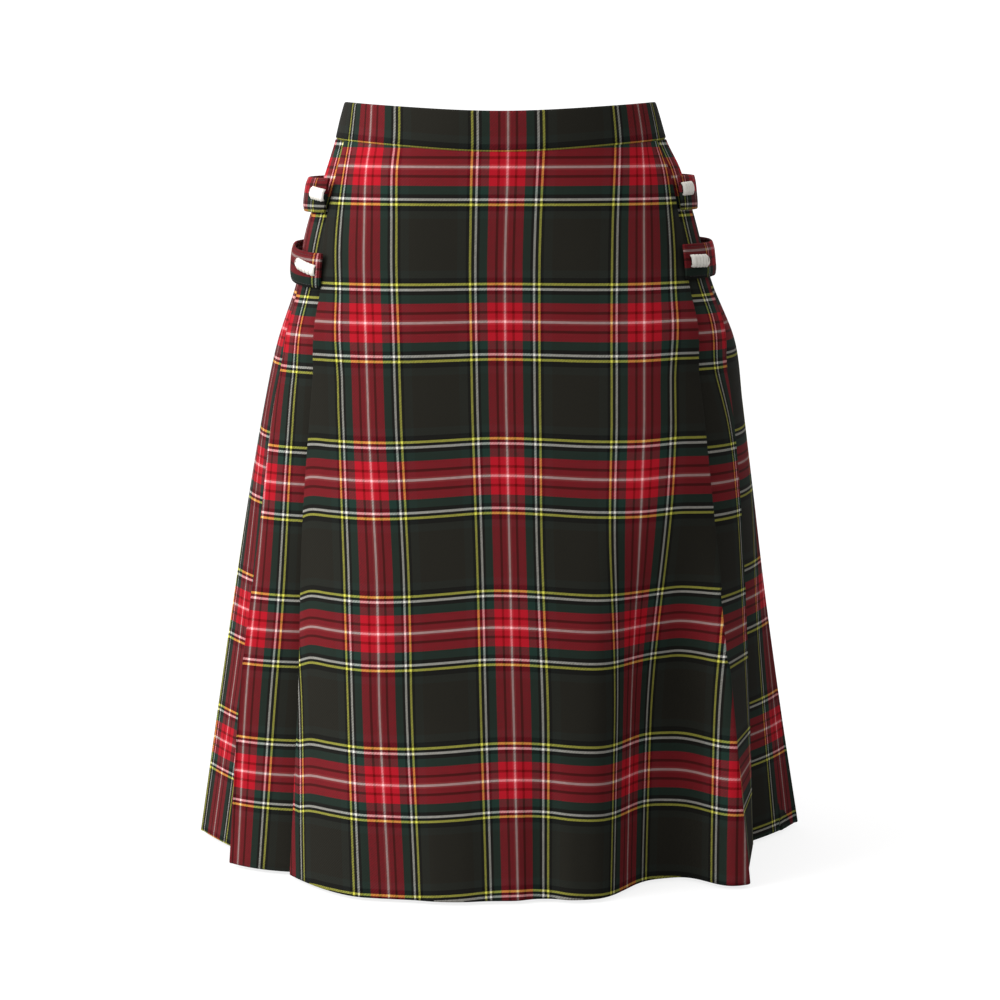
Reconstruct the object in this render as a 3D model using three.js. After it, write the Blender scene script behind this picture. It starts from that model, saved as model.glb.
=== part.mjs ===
import * as THREE from 'three';

// Tartan skirt, knee length: a waistband in two halves, a plain apron front, knife pleats round
// both sides and the back, and two buckled straps on each hip. Millimetres, Z up, the wearer faces -Y.
// The origin is the middle of the waist opening, level with the top of the waistband at the sides.

const CLOTH = 1.2; // wall of the skirt cloth
const BAND_WALL = 3; // waistband: cloth doubled over its stiffening
const STRAP_WALL = 2.4; // a strap is the cloth doubled
const BUCKLE_WALL = 2;
const SEAM_GAP = 0.3; // left between pieces that meet
const HEM_Z = -596;
const ROWS = 14; // bands of faces between the waist seam and the hem, closer together at the top

// Top of the waistband and the seam under it: both dip towards the middle of front and back.
const BAND_TOP = { side: 2.5, front: -4.2, back: -6 };
const BAND_SEAM = { side: -27, front: -35.6, back: -37 };

// Plain outline of the skirt at a number of heights: half widths, depths, and how square the oval is.
const SECTIONS = [
  { z: 6, left: 121.5, right: 121.5, front: 94, back: 92, square: 2.2 },
  { z: -27, left: 130, right: 131.5, front: 98, back: 96, square: 2.3 },
  { z: -51, left: 138, right: 143.5, front: 101, back: 102, square: 2.45 },
  { z: -85, left: 150.5, right: 154, front: 106, back: 110, square: 2.6 },
  { z: -106, left: 156, right: 159.5, front: 109, back: 114, square: 2.7 },
  { z: -141, left: 162, right: 169, front: 114, back: 119, square: 2.8 },
  { z: -187, left: 177.5, right: 188, front: 121, back: 126, square: 2.8 },
  { z: -236, left: 188.5, right: 195, front: 129, back: 134, square: 2.8 },
  { z: -316, left: 203, right: 205.5, front: 141, back: 146, square: 2.75 },
  { z: -398, left: 216, right: 216, front: 155, back: 160, square: 2.65 },
  { z: -499, left: 231.5, right: 231, front: 172, back: 177, square: 2.5 },
  { z: -596, left: 246, right: 247, front: 190, back: 194, square: 2.4 },
];

// The two edges of the apron and the first fold behind each, in plan, at a number of heights.
const EDGES = [
  { z: -27, apron_lx: -126, apron_ly: -42, fold_lx: -129.3, fold_ly: -12, fold_rx: 131, fold_ry: -12, apron_rx: 127.5, apron_ry: -42 },
  { z: -90, apron_lx: -136.5, apron_ly: -64, fold_lx: -150.8, fold_ly: -36, fold_rx: 155, fold_ry: -34, apron_rx: 142, apron_ry: -62 },
  { z: -148, apron_lx: -140, apron_ly: -79, fold_lx: -160, fold_ly: -45, fold_rx: 168, fold_ry: -43, apron_rx: 147.2, apron_ry: -76 },
  { z: -235, apron_lx: -147.5, apron_ly: -88, fold_lx: -177.5, fold_ly: -58, fold_rx: 182.5, fold_ry: -50, apron_rx: 158, apron_ry: -88 },
  { z: -331, apron_lx: -154.5, apron_ly: -94, fold_lx: -189, fold_ly: -66, fold_rx: 191.5, fold_ry: -48, apron_rx: 168, apron_ry: -102 },
  { z: -452, apron_lx: -158.5, apron_ly: -97, fold_lx: -203.5, fold_ly: -74, fold_rx: 198.5, fold_ry: -38, apron_rx: 180, apron_ry: -120 },
  { z: -596, apron_lx: -165.5, apron_ly: -110, fold_lx: -212, fold_ly: -74, fold_rx: 205.5, fold_ry: -16, apron_rx: 194, apron_ry: -140 },
];

// Knife pleats of one side, from the apron round to the middle of the back: degrees round from the
// front at waist, hip and hem, how far the edge stands out at the hem, and at the hem the share of
// the pleat that is folded under and how deep the fold opens. The first two follow EDGES, and the
// first face, from behind the apron, is drawn straight by the share taut_hem.
const LEFT_PLEATS = [
  { under_hem: 0.33, deep_hem: 17, taut_hem: 0 },
  { under_hem: 0.5, deep_hem: 40 },
  { waist: 99, hip: 90, hem: 98, out_hem: 3, under_hem: 0.48, deep_hem: 27 },
  { waist: 113, hip: 106, hem: 113, out_hem: 0, under_hem: 0.5, deep_hem: 22 },
  { waist: 127.5, hip: 122, hem: 127, out_hem: 4, under_hem: 0.44, deep_hem: 28 },
  { waist: 142, hip: 138.5, hem: 141, out_hem: -2, under_hem: 0.5, deep_hem: 23 },
  { waist: 156.5, hip: 154.5, hem: 154.5, out_hem: 3, under_hem: 0.46, deep_hem: 27 },
  { waist: 171, hip: 171, hem: 168.5, out_hem: 0, under_hem: 0.5, deep_hem: 22 },
];
const RIGHT_PLEATS = [
  { under_hem: -0.08, deep_hem: 14, taut_hem: 1 },
  { under_hem: 0.2, deep_hem: 16 },
  { waist: 99, hip: 91, hem: 104.5, out_hem: 9, under_hem: 0.46, deep_hem: 24 },
  { waist: 113, hip: 107, hem: 118, out_hem: 0, under_hem: 0.5, deep_hem: 27 },
  { waist: 127.5, hip: 123, hem: 131, out_hem: 3, under_hem: 0.45, deep_hem: 23 },
  { waist: 142, hip: 139, hem: 144, out_hem: -2, under_hem: 0.5, deep_hem: 28 },
  { waist: 156.5, hip: 155, hem: 157, out_hem: 2, under_hem: 0.46, deep_hem: 22 },
  { waist: 171, hip: 171, hem: 168.5, out_hem: 0, under_hem: 0.5, deep_hem: 25 },
];
const PRESSED_UNDER = 0.52; // share folded under where the pleats are stitched flat
const PRESSED_DEEP = 7.2; // three layers of cloth with a little air
const PRESSED_BEND = 1.05; // bend of the cloth at a pressed fold, on its middle line
const HEM_BEND = 1.9;
const STITCHED_TO_Z = -150; // below this the pleats swing open
const OPEN_BY_Z = -470;
const FREE_WITHIN = 60; // over this drop the first edges leave the plain outline
const OUT_LATE = 2.5; // the edges that stand out do so mostly near the hem
const FULL_LAP = 0.05; // radians folded under from which a fold turns right back on itself

// Soft folds of the apron: where they stand across the front, half width, depth, and the heights
// between which they grow.
const APRON_FOLDS = [
  { x: 129, half: 37, deep: 50, from_z: -280, to_z: -480 },
  { x: 33, half: 15, deep: 6, from_z: -420, to_z: -596 },
  { x: -38, half: 22, deep: -4, from_z: -400, to_z: -596 },
];
const APRON_ROLL = 62; // width over which each edge of the apron rolls back

// Straps and their buckles: height of the middle at the side, drop towards the apron, and the angles
// between which each lies. `rise` is how far it stands off the pleats at the side.
const STRAP_WIDTH = 29;
const BUCKLE_WIDTH = 12.6;
const STRAPS = [
  { name: 'upper_left', side: -1, z: -70, drop: 3, start: 65.5, end: 124, rise: 5.6, buckle_from: 64.3, buckle_to: 72.5 },
  { name: 'lower_left', side: -1, z: -122, drop: 7, start: 60.6, end: 121, rise: 5, buckle_from: 60.9, buckle_to: 70 },
  { name: 'upper_right', side: 1, z: -69, drop: 3, start: 68.5, end: 124, rise: 2.8, buckle_from: 66.9, buckle_to: 73.9 },
  { name: 'lower_right', side: 1, z: -120, drop: 6, start: 62.6, end: 121, rise: 4.4, buckle_from: 62.9, buckle_to: 70.3 },
];

const RAD = Math.PI / 180;

function blend(a, b, t) {
  return a + (b - a) * t;
}

function smooth(t) {
  const c = Math.min(1, Math.max(0, t));
  return c * c * (3 - 2 * c);
}

// Value of a named column at height z, on a smooth curve through the rows of a table.
function column(table, key, z) {
  const last = table.length - 1;
  let i = 0;
  while (i < last - 1 && table[i + 1].z > z) {
    i += 1;
  }
  const slope = (a, b) => (table[b][key] - table[a][key]) / (table[b].z - table[a].z);
  const here = slope(i, i + 1);
  const start = i > 0 ? slope(i - 1, i + 1) : here;
  const end = i < last - 1 ? slope(i, i + 2) : here;
  const span = table[i + 1].z - table[i].z;
  const t = Math.min(1, Math.max(0, (z - table[i].z) / span));
  const t2 = t * t;
  const t3 = t2 * t;
  const fromStart = (2 * t3 - 3 * t2 + 1) * table[i][key] + (t3 - 2 * t2 + t) * span * start;
  const fromEnd = (3 * t2 - 2 * t3) * table[i + 1][key] + (t3 - t2) * span * end;
  return fromStart + fromEnd;
}

// Distance from the axis to the plain outline, at an angle from the front (negative on the left).
function reach(angle, z) {
  const wide = column(SECTIONS, Math.sin(angle) < 0 ? 'left' : 'right', z);
  const deep = column(SECTIONS, Math.cos(angle) > 0 ? 'front' : 'back', z);
  const power = column(SECTIONS, 'square', z);
  const across = Math.pow(Math.abs(Math.sin(angle)) / wide, power);
  const along = Math.pow(Math.abs(Math.cos(angle)) / deep, power);
  return Math.pow(across + along, -1 / power);
}

// Point at an angle, moved out from the plain outline.
function around(angle, z, out) {
  const r = reach(angle, z) + out;
  return { x: r * Math.sin(angle), y: -r * Math.cos(angle), z };
}

// Front line of the plain outline straight ahead of x.
function frontLine(x, z) {
  const wide = column(SECTIONS, x < 0 ? 'left' : 'right', z);
  const power = column(SECTIONS, 'square', z);
  const share = Math.pow(Math.min(1, Math.abs(x) / wide), power);
  return -column(SECTIONS, 'front', z) * Math.pow(1 - share, 1 / power);
}

// Height of a line that dips at front and back, at an angle from the front.
function dipped(line, angle) {
  const c = Math.cos(angle);
  const middle = c > 0 ? line.front : line.back;
  return line.side + (middle - line.side) * c * c;
}

// How far the pleats have opened at height z: 0 where stitched, 1 near the hem.
function opened(z) {
  return smooth((STITCHED_TO_Z - z) / (STITCHED_TO_Z - OPEN_BY_Z));
}

// Share of the way from the stitched part to the hem.
function fallen(z) {
  return Math.min(1, Math.max(0, (STITCHED_TO_Z - z) / (STITCHED_TO_Z - HEM_Z)));
}

function bend(z) {
  return blend(PRESSED_BEND, HEM_BEND, opened(z));
}

function pleatsOf(side) {
  return side < 0 ? LEFT_PLEATS : RIGHT_PLEATS;
}

// Edge number k of one side at height z: its angle and how far it stands out from the plain outline.
function pleatEdge(side, k, z) {
  if (k < 2) {
    const key = (k === 0 ? 'apron_' : 'fold_') + (side < 0 ? 'l' : 'r');
    const x = column(EDGES, key + 'x', z);
    const y = column(EDGES, key + 'y', z);
    const angle = Math.atan2(Math.abs(x), -y);
    const free = smooth((STITCHED_TO_Z - z) / FREE_WITHIN);
    return { angle, out: free * (Math.hypot(x, y) - reach(side * angle, z)) };
  }
  const pleats = pleatsOf(side);
  if (k === pleats.length) {
    return { angle: Math.PI, out: 0 };
  }
  const p = pleats[k];
  const high = smooth((z - STITCHED_TO_Z) / (BAND_SEAM.side - STITCHED_TO_Z));
  const degrees = z > STITCHED_TO_Z ? blend(p.hip, p.waist, high) : blend(p.hip, p.hem, fallen(z));
  return { angle: degrees * RAD, out: p.out_hem * Math.pow(fallen(z), OUT_LATE) };
}

// Inner fold under edge k: its angle and place, and how deep it lies below the edge.
function innerFold(side, k, z) {
  const pleats = pleatsOf(side);
  const edge = pleatEdge(side, k, z);
  const next = pleatEdge(side, k + 1, z);
  const before = k > 0 ? pleatEdge(side, k - 1, z) : edge;
  const pitch = k > 0 ? Math.min(edge.angle - before.angle, next.angle - edge.angle) : next.angle - edge.angle;
  const under = blend(PRESSED_UNDER, pleats[k].under_hem, smooth(1.7 * opened(z)));
  const deep = blend(PRESSED_DEEP, pleats[k].deep_hem, opened(z));
  const lapped = smooth((pitch * under) / FULL_LAP);
  return { angle: edge.angle - pitch * under, out: edge.out - deep, deep, edge, next, lapped };
}

const ARC = [0, 60, 120, 180];
const FACE_STEPS = [0.03, 0.26, 0.54, 0.84];

// The turn of the cloth round pleat edge k, from its face to the part folded under.
function edgeTurn(side, k, z) {
  const { angle, out } = pleatEdge(side, k, z);
  const r = bend(z);
  const mm = 1 / reach(side * angle, z);
  return ARC.map((d) => ({
    angle: angle + (Math.sin(d * RAD) - 1) * r * mm,
    out: out - r + Math.cos(d * RAD) * r,
  }));
}

// The turn of the cloth round the inner fold under edge k, from the part folded under to the next face.
function innerTurn(side, k, z) {
  const { angle, out, lapped } = innerFold(side, k, z);
  const r = bend(z);
  const mm = 1 / reach(side * angle, z);
  return ARC.map((d) => {
    const turn = blend(90 + d / 2, d, lapped) * RAD;
    return { angle: angle + (1 - Math.sin(turn)) * r * mm, out: out + r + Math.cos(turn) * r };
  });
}

// Draws a face towards the straight line in plan between its two folds, by a share.
function drawnStraight(side, z, line, next, share) {
  const from = around(side * line[0].angle, z, line[0].out);
  const to = around(side * next.angle, z, next.out);
  const way = { x: to.x - from.x, y: to.y - from.y };
  const length2 = way.x * way.x + way.y * way.y;
  return line.map((p) => {
    const here = around(side * p.angle, z, p.out);
    const t = ((here.x - from.x) * way.x + (here.y - from.y) * way.y) / length2;
    const x = blend(here.x, from.x + way.x * t, share);
    const y = blend(here.y, from.y + way.y * t, share);
    const angle = Math.atan2(Math.abs(x), -y);
    return { angle, out: Math.hypot(x, y) - reach(side * angle, z) };
  });
}

// Middle line of the next face, from the inner fold under edge k out to edge k + 1. Where the pleat
// has swung fully open, the face starts straight from the inner fold.
function faceLine(side, k, z) {
  const inner = innerFold(side, k, z);
  const { edge, next, deep, lapped } = inner;
  const turned = inner.angle + bend(z) / reach(side * inner.angle, z);
  const first = Math.max(edge.angle, turned + 0.6 * (turned - inner.angle));
  const low = blend(1, 0.62, lapped) * deep;
  const line = [{ angle: blend(turned, first, 0.5), out: blend(inner.out, edge.out - low, 0.5) }];
  FACE_STEPS.forEach((v) => {
    const sunk = low * (1 - v) * (1 - v);
    line.push({ angle: blend(first, next.angle, v), out: blend(edge.out, next.out, v) - sunk });
  });
  const taut = k === 0 ? pleatsOf(side)[0].taut_hem * opened(z) : 0;
  return taut > 0 ? drawnStraight(side, z, line, next, taut) : line;
}

// The part of the cloth folded under edge k: share 0 at the edge, 1 at the inner fold.
function under(side, k, z, share) {
  const from = edgeTurn(side, k, z)[ARC.length - 1];
  const to = innerTurn(side, k, z)[0];
  return { angle: blend(from.angle, to.angle, share), out: blend(from.out, to.out, share) };
}

const APRON_SEAM = 0.82; // share of the first fold-under where apron and pleats are joined

function seamShift(side, k, z) {
  const from = under(side, k, z, 0);
  const to = under(side, k, z, 1);
  const run = Math.hypot((to.angle - from.angle) * reach(side * from.angle, z), to.out - from.out);
  return SEAM_GAP / 2 / Math.max(run, 1);
}

// Pleats of one side at height z, from the seam behind the apron to the seam at the middle of the back.
function pleatLine(side, z) {
  const count = LEFT_PLEATS.length;
  const line = [under(side, 0, z, APRON_SEAM + seamShift(side, 0, z))];
  for (let k = 0; k < count; k += 1) {
    line.push(...innerTurn(side, k, z));
    if (k < count - 1) {
      line.push(...faceLine(side, k, z));
      line.push(...edgeTurn(side, k + 1, z));
      line.push(under(side, k + 1, z, 0.5));
    }
  }
  const last = innerFold(side, count - 1, z);
  const gap = SEAM_GAP / 2 / reach(Math.PI, z);
  line.push({ angle: last.edge.angle, out: last.out + 0.3 * last.deep });
  line.push({ angle: Math.PI - gap, out: last.out + 0.38 * last.deep });
  return line;
}

// Plan point of the apron straight ahead of x: the plain outline with its rolled edges and soft folds.
function apronPoint(x, z, left, right) {
  let y = frontLine(x, z);
  const fromLeft = 1 - Math.min(1, (x - left.x) / APRON_ROLL);
  const fromRight = 1 - Math.min(1, (right.x - x) / APRON_ROLL);
  y += (left.y - frontLine(left.x, z)) * Math.pow(Math.max(0, fromLeft), 1.7);
  y += (right.y - frontLine(right.x, z)) * Math.pow(Math.max(0, fromRight), 1.7);
  APRON_FOLDS.forEach((f) => {
    const grown = smooth((f.from_z - z) / (f.from_z - f.to_z));
    y += f.deep * grown * Math.exp(-Math.pow(Math.abs(x - f.x) / f.half, 3));
  });
  return { x, y };
}

const APRON_STEPS = 34;

// Turn of the cloth at an edge of the apron, from the end of its face towards the part folded under.
function apronTurn(end, before, side, z) {
  const r = bend(z);
  const run = Math.hypot(end.x - before.x, end.y - before.y);
  const t = { x: (end.x - before.x) / run, y: (end.y - before.y) / run };
  const n = { x: -side * t.y, y: side * t.x };
  const seam = under(side, 0, z, APRON_SEAM - seamShift(side, 0, z));
  const folded = under(side, 0, z, 0.5);
  const goal = around(side * folded.angle, z, folded.out);
  const w = { x: goal.x - end.x - n.x * r, y: goal.y - end.y - n.y * r };
  const sweep = Math.min(Math.PI, Math.atan2(w.x * n.x + w.y * n.y, w.x * t.x + w.y * t.y) + 0.3);
  const line = ARC.slice(1).map((d) => {
    const turn = (sweep * d) / 180;
    const ahead = r * Math.sin(turn);
    const aside = r * (1 - Math.cos(turn));
    return { x: end.x + t.x * ahead + n.x * aside, y: end.y + t.y * ahead + n.y * aside, z };
  });
  return [...line, goal, around(side * seam.angle, z, seam.out)];
}

// Apron at height z, from its seam on the left round both turned edges to its seam on the right.
function apronLine(z) {
  const edge = (side) => {
    const e = pleatEdge(side, 0, z);
    return around(side * e.angle, z, e.out);
  };
  const left = edge(-1);
  const right = edge(1);
  const inset = bend(z);
  const face = [];
  for (let i = 0; i <= APRON_STEPS; i += 1) {
    const even = i / APRON_STEPS;
    const share = blend(even, 0.5 - 0.5 * Math.cos(Math.PI * even), 0.55);
    const x = blend(left.x + inset, right.x - inset, share);
    face.push({ ...apronPoint(x, z, left, right), z });
  }
  const leftTurn = apronTurn(face[0], face[1], -1, z).reverse();
  const rightTurn = apronTurn(face[APRON_STEPS], face[APRON_STEPS - 1], 1, z);
  return [...leftTurn, ...face, ...rightTurn];
}

function material(color, roughness, metalness) {
  return new THREE.MeshStandardMaterial({ color, roughness, metalness, side: THREE.FrontSide });
}

// A closed wall of even thickness about a grid of points: rows run down, columns run towards the right.
function wall(name, grid, thick, look) {
  const rows = grid.length;
  const cols = grid[0].length;
  const points = [];
  [1, -1].forEach((face) => {
    grid.forEach((row) => {
      row.forEach((p, j) => {
        const before = row[Math.max(0, j - 1)];
        const after = row[Math.min(cols - 1, j + 1)];
        const a = new THREE.Vector2(p.x - before.x, p.y - before.y).normalize();
        const b = new THREE.Vector2(after.x - p.x, after.y - p.y).normalize();
        const along = a.add(b).normalize();
        const off = (face * thick) / 2;
        points.push(p.x + along.y * off, p.y - along.x * off, p.z);
      });
    });
  });
  const outer = (i, j) => i * cols + j;
  const inner = (i, j) => rows * cols + i * cols + j;
  const index = [];
  const quad = (a, b, c, d) => index.push(a, b, c, a, c, d);
  for (let i = 0; i < rows - 1; i += 1) {
    for (let j = 0; j < cols - 1; j += 1) {
      quad(outer(i, j), outer(i + 1, j), outer(i + 1, j + 1), outer(i, j + 1));
      quad(inner(i, j), inner(i, j + 1), inner(i + 1, j + 1), inner(i + 1, j));
    }
    quad(outer(i, 0), inner(i, 0), inner(i + 1, 0), outer(i + 1, 0));
    quad(outer(i, cols - 1), outer(i + 1, cols - 1), inner(i + 1, cols - 1), inner(i, cols - 1));
  }
  for (let j = 0; j < cols - 1; j += 1) {
    quad(outer(0, j), outer(0, j + 1), inner(0, j + 1), inner(0, j));
    quad(outer(rows - 1, j), inner(rows - 1, j), inner(rows - 1, j + 1), outer(rows - 1, j + 1));
  }
  const geometry = new THREE.BufferGeometry();
  geometry.setAttribute('position', new THREE.Float32BufferAttribute(points, 3));
  geometry.setIndex(index);
  geometry.computeVertexNormals();
  const mesh = new THREE.Mesh(geometry, look);
  mesh.name = name;
  return mesh;
}

// Rows of a panel from just under the waistband to the hem. Each point keeps its place round the
// skirt while its row dips with the seam above it.
function panelGrid(lineAt) {
  const grid = [];
  for (let i = 0; i <= ROWS; i += 1) {
    const share = Math.pow(i / ROWS, 1.35);
    const flat = blend(BAND_SEAM.side, HEM_Z, share);
    const row = lineAt(flat).map((p) => {
      const seam = dipped(BAND_SEAM, Math.atan2(p.x, -p.y)) - SEAM_GAP;
      return { x: p.x, y: p.y, z: blend(seam, HEM_Z, share) };
    });
    grid.push(row);
  }
  return grid;
}

function pleatsGrid(side) {
  return panelGrid((z) => {
    const line = pleatLine(side, z).map((p) => around(side * p.angle, z, p.out));
    return side < 0 ? line.reverse() : line;
  });
}

const BAND_STEPS = 26;
const BAND_ROWS = 3;

// Half of the waistband between two angles, stopping short of the side seams.
function bandGrid(from, to) {
  const grid = [];
  for (let i = 0; i <= BAND_ROWS; i += 1) {
    const row = [];
    for (let j = 0; j <= BAND_STEPS; j += 1) {
      const angle = blend(from, to, j / BAND_STEPS);
      const z = blend(dipped(BAND_TOP, angle), dipped(BAND_SEAM, angle), i / BAND_ROWS);
      row.push(around(angle, z, CLOTH / 2 - BAND_WALL / 2));
    }
    grid.push(row);
  }
  return grid;
}

const STRAP_STEPS = 16;
const BUCKLE_STEPS = 5;

// Point of a strap at an angle and a height across it. The strap hugs the pleats at both ends.
function strapPoint(s, angle, across, out) {
  const along = (angle - s.start) / (s.end - s.start);
  const arch = Math.sin(Math.PI * Math.min(1, Math.max(0, along)));
  const nearApron = 1 - smooth(along / 0.55);
  const z = s.z - s.drop * nearApron + across;
  const off = CLOTH / 2 + SEAM_GAP + STRAP_WALL / 2 + 0.6 + s.rise * Math.sqrt(Math.max(0, arch)) + out;
  return around(s.side * angle * RAD, z, off);
}

function strapGrid(s, from, to, steps, width, out) {
  const grid = [];
  for (let i = 0; i <= 2; i += 1) {
    const row = [];
    for (let j = 0; j <= steps; j += 1) {
      const angle = blend(from, to, j / steps);
      row.push(strapPoint(s, angle, width * (0.5 - i / 2), out));
    }
    grid.push(s.side < 0 ? row.reverse() : row);
  }
  return grid;
}

const skirt = new THREE.Group();
skirt.name = 'tartan_skirt';

const CLOTH_LOOK = [0x4a2226, 0.9, 0];
const STRAP_LOOK = [0x5a1e26, 0.9, 0];
const METAL_LOOK = [0xd9d4c8, 0.35, 0.9];

const halfGap = SEAM_GAP / 2 / SECTIONS[0].left;
const side = Math.PI / 2;
skirt.add(wall('waistband_front', bandGrid(-side + halfGap, side - halfGap), BAND_WALL, material(...CLOTH_LOOK)));
skirt.add(wall('waistband_back', bandGrid(side + halfGap, 3 * side - halfGap), BAND_WALL, material(...CLOTH_LOOK)));
skirt.add(wall('front_panel', panelGrid(apronLine), CLOTH, material(...CLOTH_LOOK)));
skirt.add(wall('pleats_left', pleatsGrid(-1), CLOTH, material(...CLOTH_LOOK)));
skirt.add(wall('pleats_right', pleatsGrid(1), CLOTH, material(...CLOTH_LOOK)));

const PLATE_OUT = STRAP_WALL / 2 + SEAM_GAP + BUCKLE_WALL / 2;
STRAPS.forEach((s) => {
  const strap = strapGrid(s, s.start, s.end, STRAP_STEPS, STRAP_WIDTH, 0);
  const plate = strapGrid(s, s.buckle_from, s.buckle_to, BUCKLE_STEPS, BUCKLE_WIDTH, PLATE_OUT);
  skirt.add(wall(`strap_${s.name}`, strap, STRAP_WALL, material(...STRAP_LOOK)));
  skirt.add(wall(`buckle_${s.name}`, plate, BUCKLE_WALL, material(...METAL_LOOK)));
});

export default skirt;
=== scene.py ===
# Tartan skirt, knee length: a waistband, a plain apron front, knife pleats round both sides and the
# back, and two buckled straps on each hip. Sizes in millimetres unless a name says otherwise.
# Z is up, the wearer faces -Y, and angles run round from the front, negative on the left.
import math

import bpy
import numpy as np
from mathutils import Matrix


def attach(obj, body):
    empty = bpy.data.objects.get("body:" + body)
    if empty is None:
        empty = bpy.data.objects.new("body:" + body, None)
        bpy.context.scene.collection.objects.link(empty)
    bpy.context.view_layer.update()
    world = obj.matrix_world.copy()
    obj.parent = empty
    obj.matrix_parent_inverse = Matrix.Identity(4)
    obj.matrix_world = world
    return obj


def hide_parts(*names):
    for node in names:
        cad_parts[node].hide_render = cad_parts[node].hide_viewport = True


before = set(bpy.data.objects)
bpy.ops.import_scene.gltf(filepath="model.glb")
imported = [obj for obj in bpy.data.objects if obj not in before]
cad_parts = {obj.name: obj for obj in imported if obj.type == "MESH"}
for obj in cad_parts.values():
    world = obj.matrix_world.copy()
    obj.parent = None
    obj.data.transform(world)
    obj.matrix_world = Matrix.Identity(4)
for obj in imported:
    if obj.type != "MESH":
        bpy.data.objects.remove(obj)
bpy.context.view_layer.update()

# ---- Waistband ----------------------------------------------------------------------------------
# Two halves of the tartan, each doubled over a stiffening and joined at the hips. The top is a
# turned fold and the lower edge is sewn to the skirt along the yellow line of the check.

BAND_WALL = 3.0
BAND_PUFF = 0.5
SEAM_NIP = 0.35
BAND_TOP = {"side": 2.5, "front": -4.2, "back": -6.0}
BAND_SEAM = {"side": -27.0, "front": -35.6, "back": -37.0}
CLOTH = 1.2
SEAM_GAP = 0.3

# Plain outline of the skirt: heights, half widths, depths, and how square the oval is.
OUTLINE = {
    "z": [6, -27, -51, -85, -106, -141, -187, -236, -316, -398, -499, -596],
    "left": [121.5, 130, 138, 150.5, 156, 162, 177.5, 188.5, 203, 216, 231.5, 246],
    "right": [121.5, 131.5, 143.5, 154, 159.5, 169, 188, 195, 205.5, 216, 231, 247],
    "front": [94, 98, 101, 106, 109, 114, 121, 129, 141, 155, 172, 190],
    "back": [92, 96, 102, 110, 114, 119, 126, 134, 146, 160, 177, 194],
    "square": [2.2, 2.3, 2.45, 2.6, 2.7, 2.8, 2.8, 2.8, 2.75, 2.65, 2.5, 2.4],
}

# Where the three red bands of the apron run: how far across the front each white centre stands at
# a number of heights, and how much cloth lies beyond the outer two, out to the apron's edges.
RED_BANDS = {
    "z": [6, -27, -52, -90, -127, -223, -248, -346, -393, -466, -560, -596],
    "left": [-98, -99.5, -103, -104, -104.2, -100.9, -100, -94.3, -92.8, -91.2, -85.8, -84],
    "middle": [6.1, 6.1, 5.6, 4.4, 3.7, 4.6, 5.2, 7.5, 8.6, 10.5, 12.7, 13.4],
    "right": [104.5, 109.2, 110.6, 110.3, 110.3, 110, 109.8, 106, 103.6, 100.6, 97.9, 97],
    "beyond_left": [34, 34, 36, 39, 41, 53, 57, 69, 75, 87, 98, 103],
    "beyond_right": [26, 27, 30, 34, 38, 51, 54, 73, 81, 94, 106, 110],
}
WARP_REPEAT = 106.5
WEFT_REPEAT = 118.0


def mix(a, b, t):
    return a + (b - a) * t


def ease(t):
    c = np.clip(t, 0.0, 1.0)
    return c * c * (3 - 2 * c)


def column(table, key, z, by="z"):
    """A column of a table at heights z, on a smooth curve through its rows."""
    at = np.array(table[by][::-1], float)
    value = np.array(table[key][::-1], float)
    lean = np.empty(len(at))
    lean[1:-1] = (value[2:] - value[:-2]) / (at[2:] - at[:-2])
    lean[0] = (value[1] - value[0]) / (at[1] - at[0])
    lean[-1] = (value[-1] - value[-2]) / (at[-1] - at[-2])
    z = np.clip(np.asarray(z, float), at[0], at[-1])
    i = np.clip(np.searchsorted(at, z) - 1, 0, len(at) - 2)
    span = at[i + 1] - at[i]
    t = (z - at[i]) / span
    low = (2 * t**3 - 3 * t**2 + 1) * value[i] + (t**3 - 2 * t**2 + t) * span * lean[i]
    high = (3 * t**2 - 2 * t**3) * value[i + 1] + (t**3 - t**2) * span * lean[i + 1]
    return low + high


def reach(angle, z):
    """Distance from the middle of the skirt to its plain outline."""
    s, c = np.sin(angle), np.cos(angle)
    wide = np.where(s < 0, column(OUTLINE, "left", z), column(OUTLINE, "right", z))
    deep = np.where(c > 0, column(OUTLINE, "front", z), column(OUTLINE, "back", z))
    power = column(OUTLINE, "square", z)
    return ((np.abs(s) / wide) ** power + (np.abs(c) / deep) ** power) ** (-1 / power)


def around(angle, z, out):
    """Points in plan at an angle, standing off the plain outline."""
    r = reach(angle, z) + out
    return np.stack([r * np.sin(angle), -r * np.cos(angle)], axis=-1)


def dipped(line, angle):
    """Height of a line that dips at the middle of front and back."""
    c = np.cos(angle)
    middle = np.where(c > 0, line["front"], line["back"])
    return line["side"] + (middle - line["side"]) * c * c


def along(plan):
    """Distance along a row of points."""
    return np.concatenate([[0.0], np.cumsum(np.linalg.norm(np.diff(plan, axis=0), axis=1))])


def weft_at(z):
    """How far down the cloth a level stands, from the white centre of the top red band."""
    t = -z - 47
    return WEFT_REPEAT * (t / 116.8 + 0.083 * np.sign(t) * np.abs(t / 457.5) ** 3)


def band_centres(x, run, z):
    """Where the white centres of the three red bands fall along a row of the front."""
    return np.interp([float(column(RED_BANDS, k, z)) for k in ("left", "middle", "right")], x, run)


def unit(v):
    return v / np.maximum(np.linalg.norm(v, axis=-1, keepdims=True), 1e-9)


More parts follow.
